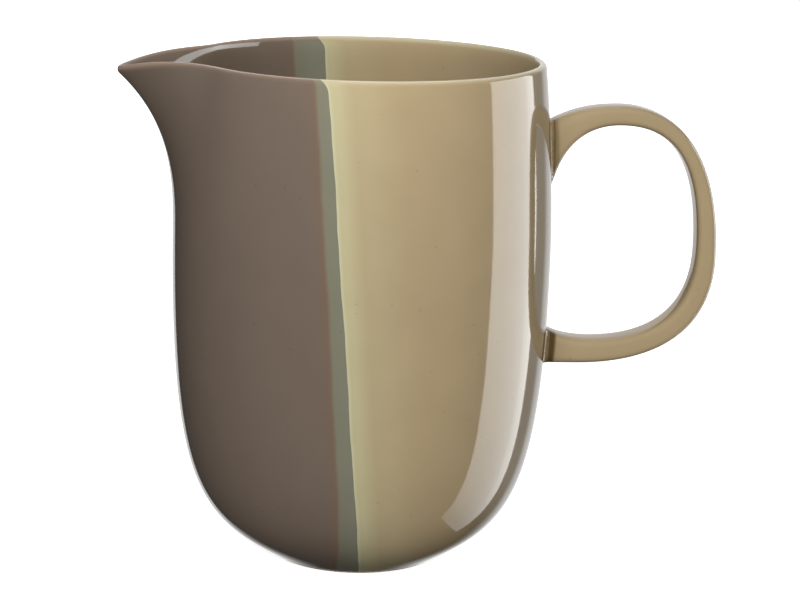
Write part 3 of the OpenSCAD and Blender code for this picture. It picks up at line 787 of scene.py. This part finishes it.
thrown_wall = wall_tree()
pulled_strap = strap_tree()
slip_fillet = fillet_tree()
wall_edge = point_object("wall_edge", wall_corners)
outer_edge = point_object("outer_edge", outer_corners)
inner_edge = point_object("inner_edge", inner_corners)
helpers = [wall_edge, outer_edge, inner_edge]
spout = {"belly_height": BELLY_Z * MM, "shoulder_height": shoulder_h * MM,
         "spout_reach": SPOUT_REACH * MM, "spout_droop": SPOUT_DROOP * MM,
         "spout_fade": math.radians(math.hypot(SPOUT_HALF, SPOUT_KEEL) - SPOUT_KEEL),
         "keel": math.radians(SPOUT_KEEL)}


def jug_wall(name, depth, from_foot, columns, material):
    """The whole wall at a depth under the glaze: a closed body for the clay, a sheet for the glaze."""
    section = section_stops(depth, from_foot)
    helpers.append(section)
    return made_by(thrown_wall, name, corners=wall_edge, section=section, columns=columns,
                   crowding=SPOUT_CROWDING, depth=depth * MM, material=material, **spout)


# The dips: how far each point lies from the edges of the two dips, in millimetres

def waver(z, y, phase):
    """The hand's waver along a dip's edge, a few tenths of a millimetre."""
    side = 0 if y < 0 else FAR_SIDE_PHASE
    phases = (phase + side, 2 * phase - side, phase)
    return sum(height * math.sin(z / length + start)
               for (height, length), start in zip(WAVER, phases))


def dip_distance(dip, x, y, z):
    """How far a point lies beyond the flat plane in which a dip ends."""
    from_axis, lean_up, lean_deep = dip
    return x + from_axis + lean_up * (z - JUG_H) + lean_deep * y


def measure_dips(mesh):
    """Keeps each point's distance from the sand dip's edge and from the taupe dip's edge."""
    from_lip = mesh.attributes.get("from_lip")
    sand_edge, taupe_edge = [], []
    for i, vertex in enumerate(mesh.vertices):
        x, y, z = vertex.co / MM
        low = from_lip.data[i].value if from_lip else FAR_FROM_LIP
        run_in = RUN_IN * math.exp(-(low / RUN_IN_FALL) ** 2)
        sand_edge.append(dip_distance(SAND_DIP, x, y, z) + waver(z, y, SAND_PHASE))
        taupe_edge.append(dip_distance(TAUPE_DIP, x, y, z) + waver(z, y, TAUPE_PHASE) + run_in)
    keep_numbers(mesh, "sand_edge", sand_edge)
    keep_numbers(mesh, "taupe_edge", taupe_edge)
    if not from_lip:
        keep_numbers(mesh, "from_lip", [FAR_FROM_LIP] * len(mesh.vertices))


def keep_side(bm, name, sign):
    """Cuts a sheet along the line where a distance is zero, and keeps one side of it."""
    layer = bm.verts.layers.float[name]
    for vertex in bm.verts:
        if abs(vertex[layer]) < NO_DISTANCE:
            vertex[layer] = NO_DISTANCE
    cuts = {}
    for edge in [e for e in bm.edges if e.verts[0][layer] * e.verts[1][layer] < 0]:
        a, b = edge.verts
        share = a[layer] / (a[layer] - b[layer])
        made = bmesh.utils.edge_split(edge, a, share)[1]
        made[layer] = 0
        cuts[made] = True
    for face in list(dict.fromkeys(f for v in cuts for f in v.link_faces)):
        ends = [v for v in face.verts if v in cuts]
        if len(ends) == 2:
            bmesh.utils.face_split(face, ends[0], ends[1])
    gone = [f for f in bm.faces if sign * sum(v[layer] for v in f.verts) < 0]
    bmesh.ops.delete(bm, geom=gone, context="FACES")


def thicken(bm, normals, skin):
    """Gives a sheet its far side, and rims whose edges stay crisp, so that it is a closed skin."""
    sheet = list(bm.faces)
    border = [e for e in bm.edges if e.is_boundary]
    twins = {}
    for vertex in list(bm.verts):
        out = Vector(vertex[normals]) if normals else vertex.normal
        deep = (vertex[skin] if skin else SKIN_T) * MM
        twin = bm.verts.new(vertex.co - out.normalized() * deep)
        for distance in bm.verts.layers.float.values():
            twin[distance] = vertex[distance]
        twins[vertex] = twin
    for face in sheet:
        made = bm.faces.new([twins[v] for v in reversed(face.verts)])
        made.smooth = True
    for edge in border:
        loop = edge.link_loops[0]
        a, b = loop.vert, loop.link_loop_next.vert
        bm.faces.new([b, a, twins[a], twins[b]])
        edge.smooth = False
        bm.edges.get([twins[a], twins[b]]).smooth = False


def finished(bm, name, material):
    """A mesh under work becomes a piece."""
    mesh = bpy.data.meshes.new(name)
    bm.to_mesh(mesh)
    bm.free()
    mesh.materials.append(material)
    return placed(bpy.data.objects.new(name, mesh))


coat = jug_wall("coat", 0.0, False, GLAZE_COLUMNS, sand)
measure_dips(coat.data)
coat.data.attributes.new("out_way", "FLOAT_VECTOR", "POINT").data.foreach_set(
    "vector", [c for v in coat.data.vertices for c in v.normal])


def dip_piece(name, cuts, material):
    """One colour of the coat, cut out along the edges of the dips."""
    bm = bmesh.new()
    bm.from_mesh(coat.data)
    for edge_name, sign in cuts:
        keep_side(bm, edge_name, sign)
    bmesh.ops.delete(bm, geom=[v for v in bm.verts if not v.link_faces], context="VERTS")
    thicken(bm, bm.verts.layers.float_vector["out_way"], bm.verts.layers.float["skin"])
    return finished(bm, name, material)


taupe_dip = dip_piece("taupe_dip", [("sand_edge", -1)], taupe)
sage_overlap = dip_piece("sage_overlap", [("sand_edge", 1), ("taupe_edge", -1)], sage)
sand_dip = dip_piece("sand_dip", [("taupe_edge", 1)], sand)
clay_wall = jug_wall("thrown_clay_wall", CLAY_DEPTH, True, CLAY_COLUMNS, clay)


# The handle and its slip joints

strap_sizes = {"outer": outer_edge, "inner": inner_edge, "width": HANDLE_W * MM,
               "low_width": HANDLE_LOW_W * MM, "squareness": STRAP_SQUARENESS,
               "points": STRAP_POINTS}
# The strap's glaze begins and ends a bead's width from the wall; the slip runs a little under it
first_way = (outer_corners[1] - outer_corners[0]).length * 3
last_way = (outer_corners[-1] - outer_corners[-2]).length * 3
glaze_start = SLIP_BEAD * MM / first_way
glaze_end = STRAP_RUN - SLIP_BEAD * MM / last_way
LAP = 1.15

sleeve = made_by(pulled_strap, "strap_sleeve", rings=GLAZE_RINGS, start=glaze_start, end=glaze_end,
                 depth=0.0, material=sand, **strap_sizes)
measure_dips(sleeve.data)
# Painted shade: how much the strap's glaze darkens near the wall at each root
crease_shades = []
for vertex in sleeve.data.vertices:
    place = vertex.co / MM
    off_wall = math.hypot(place.x, place.y) - wall_radius(place.z)
    end, strength = UPPER_CREASE_SHADE if place.z > BELLY_Z else LOWER_CREASE_SHADE
    crease_shades.append(strength * min(1, max(0, end - off_wall)))
keep_numbers(sleeve.data, "crease", crease_shades)
bm = bmesh.new()
bm.from_mesh(sleeve.data)
bmesh.ops.recalc_face_normals(bm, faces=bm.faces)
bm.normal_update()
thicken(bm, None, None)
strap_glaze = finished(bm, "strap_glaze", sand)

strap_clay = made_by(pulled_strap, "strap_clay", rings=STRAP_RINGS, start=0.0, end=STRAP_RUN,
                     depth=CLAY_DEPTH * MM, material=clay, **strap_sizes)
fillets = [
    made_by(slip_fillet, name, wall=coat, rings=FILLET_RINGS, root=root, end=end,
            bead=SLIP_BEAD * MM, material=slip, **strap_sizes)
    for name, root, end in (
        ("upper_slip_fillet", 0.0, glaze_start * LAP),
        ("lower_slip_fillet", STRAP_RUN, STRAP_RUN - (STRAP_RUN - glaze_end) * LAP))
]
for piece in [strap_clay] + fillets:
    bm = bmesh.new()
    bm.from_mesh(piece.data)
    for edge in bm.edges:
        if edge.is_boundary:
            edge.smooth = False
    bmesh.ops.holes_fill(bm, edges=bm.edges)
    bmesh.ops.recalc_face_normals(bm, faces=bm.faces)
    bm.to_mesh(piece.data)
    bm.free()

for helper in helpers + [coat, sleeve]:
    bpy.data.objects.remove(helper)

for piece, solid, finish in (
        (clay_wall, "clay_body", "fired_clay"), (strap_clay, "clay_handle", "fired_clay"),
        (fillets[0], "upper_slip_joint", "fired_slip"), (fillets[1], "lower_slip_joint", "fired_slip"),
        (taupe_dip, "taupe_glaze", "taupe_glaze"), (sage_overlap, "sage_glaze_band", "sage_glaze"),
        (sand_dip, "sand_glaze", "sand_glaze"), (strap_glaze, "handle_glaze", "sand_glaze")):
    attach(piece, "root")
    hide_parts(solid)


# The floor: pure white to the camera but for the jug's shadow, and a dim grey table to the jug

def white_table():
    """White and aglow for the camera, so that only a shadow shows, and grey for everything else."""
    material, tree = new_material("white_table")
    seen = node(tree, "ShaderNodeLightPath").outputs["Is Camera Ray"]
    lit = node(tree, "ShaderNodeBsdfDiffuse", {"Color": linear("#F3F3F3")})
    glow = node(tree, "ShaderNodeEmission", {"Color": (1, 1, 1, 1), "Strength": 0.86})
    white = node(tree, "ShaderNodeAddShader", [lit, glow])
    grey = node(tree, "ShaderNodeBsdfDiffuse", {"Color": linear("#7C7A76")})
    surface = node(tree, "ShaderNodeMixShader", [seen, grey, white])
    node(tree, "ShaderNodeOutputMaterial", {"Surface": surface})
    return material


TABLE_HALF = 6
table_mesh = bpy.data.meshes.new("table")
table_mesh.from_pydata([(x * TABLE_HALF, y * TABLE_HALF, 0)
                        for x, y in ((-1, -1), (1, -1), (1, 1), (-1, 1))], [], [(0, 1, 2, 3)])
table_mesh.materials.append(white_table())
table = placed(bpy.data.objects.new("table", table_mesh))
table.visible_glossy = False


# Lights

def soft_light(name, turn, rise, away, size, watts, mirrored=False, aim=JUG_MIDDLE):
    """A soft light: it lights the jug, or it is the one that the glaze mirrors. Turn counts from
    the camera towards the handle, rise from the table up."""
    turn, rise = math.radians(turn) + CAMERA_TURN, math.radians(rise)
    data = bpy.data.lights.new(name, "AREA")
    data.shape = "RECTANGLE"
    data.size, data.size_y = size
    data.energy = watts
    light = bpy.data.objects.new(name, data)
    way = Vector((math.sin(turn) * math.cos(rise), -math.cos(turn) * math.cos(rise), math.sin(rise)))
    light.location = Vector(aim) + away * way
    light.rotation_mode = "QUATERNION"
    light.rotation_quaternion = way.to_track_quat("Z", "Y")
    light.visible_camera = False
    light.visible_glossy = mirrored
    light.visible_diffuse = not mirrored
    return placed(light)


soft_light("front_light", turn=-4, rise=14, away=1.6, size=(1.4, 1.4), watts=22.5)
soft_light("top_light", turn=-4, rise=48, away=1.6, size=(1.2, 1.2), watts=5.5)
soft_light("back_fill", turn=180, rise=4, away=1.8, size=(1.6, 1.2), watts=16)
mouth_light = soft_light("mouth_light", turn=0, rise=62, away=0.5, size=(0.08, 0.08), watts=0.024,
                         aim=(-0.01, 0, 0.16))
mouth_light.data.spread = math.radians(18)
softbox = soft_light("side_softbox", turn=104, rise=0, away=0.9, size=(0.727, 1.6), watts=17.2,
                     mirrored=True, aim=(0, 0, -0.31))


def fade_low(light):
    """Dims a softbox towards its lower end, as the mirrored stripe fades on the belly."""
    light.data.use_nodes = True
    tree = light.data.node_tree
    tree.nodes.clear()
    up = node(tree, "ShaderNodeSeparateXYZ", [node(tree, "ShaderNodeNewGeometry").outputs["Parametric"]])
    low_end, high_end, dim, bright = 0.075, 0.63, 0.25, 0.95
    share = node(tree, "ShaderNodeMapRange", {
        VALUE: up.outputs["Y"], FROM_MIN: low_end, FROM_MAX: high_end, TO_MIN: dim, TO_MAX: bright})
    glow = node(tree, "ShaderNodeEmission", {"Strength": share})
    node(tree, "ShaderNodeOutputLight", {"Surface": glow})


fade_low(softbox)

# The white paper that the glaze mirrors, in degrees from straight behind the jug: from its edge
# on the spout's side to where it starts to dim, where it has dimmed, and its edge past the handle
PAPER_START, PAPER_DIMS, PAPER_DIM, PAPER_END = [math.radians(turn) for turn in (-23, 29, 36, 60)]
# How far down it reaches: the height of a mirrored ray's way where it ends, and where it is whole
PAPER_LOW, PAPER_WHOLE = -0.66, -0.46
PAPER_DIM_SHARE, PAPER_WHITE, FLAG_BLACK, ROOM_LIGHT = 0.4, 0.94, 0.03, 0.17


def studio_world():
    """White behind everything; in the glaze, white paper behind the jug and dark flags round it."""
    world = bpy.data.worlds.new("studio")
    world.use_nodes = True
    tree = world.node_tree
    tree.nodes.clear()
    paths = node(tree, "ShaderNodeLightPath").outputs
    way = node(tree, "ShaderNodeTexCoord").outputs["Generated"]
    parts = node(tree, "ShaderNodeSeparateXYZ", [way]).outputs
    across = node(tree, MATH, [parts["X"], parts["Y"]], operation="ARCTAN2")
    behind = node(tree, MATH, [across, CAMERA_TURN], operation="ADD")
    after = node(tree, MATH, [behind, PAPER_START], operation="GREATER_THAN")
    before = node(tree, MATH, [behind, PAPER_END], operation="LESS_THAN")
    dimming = node(tree, "ShaderNodeMapRange", {
        VALUE: behind, FROM_MIN: PAPER_DIMS, FROM_MAX: PAPER_DIM, TO_MIN: 1, TO_MAX: PAPER_DIM_SHARE})
    between = node(tree, MATH, [node(tree, MATH, [after, before], operation="MULTIPLY"), dimming],
                   operation="MULTIPLY")
    above = node(tree, "ShaderNodeMapRange", {
        VALUE: parts["Z"], FROM_MIN: PAPER_LOW, FROM_MAX: PAPER_WHOLE})
    paper = node(tree, MATH, [between, above], operation="MULTIPLY")
    mirrored = node(tree, MATH, [paper, PAPER_WHITE, FLAG_BLACK], operation="MULTIPLY_ADD")
    around = node(tree, "ShaderNodeMix",
                  {FACTOR: paths["Is Glossy Ray"], FLOAT_A: ROOM_LIGHT, FLOAT_B: mirrored})
    shown = node(tree, "ShaderNodeMix", {FACTOR: paths["Is Camera Ray"], FLOAT_A: around, FLOAT_B: 1.0})
    glow = node(tree, "ShaderNodeBackground", {"Color": (1, 1, 1, 1), "Strength": shown})
    node(tree, "ShaderNodeOutputWorld", {"Surface": glow})
    return world


bpy.context.scene.world = studio_world()
bpy.context.scene.view_settings.view_transform = "Standard"
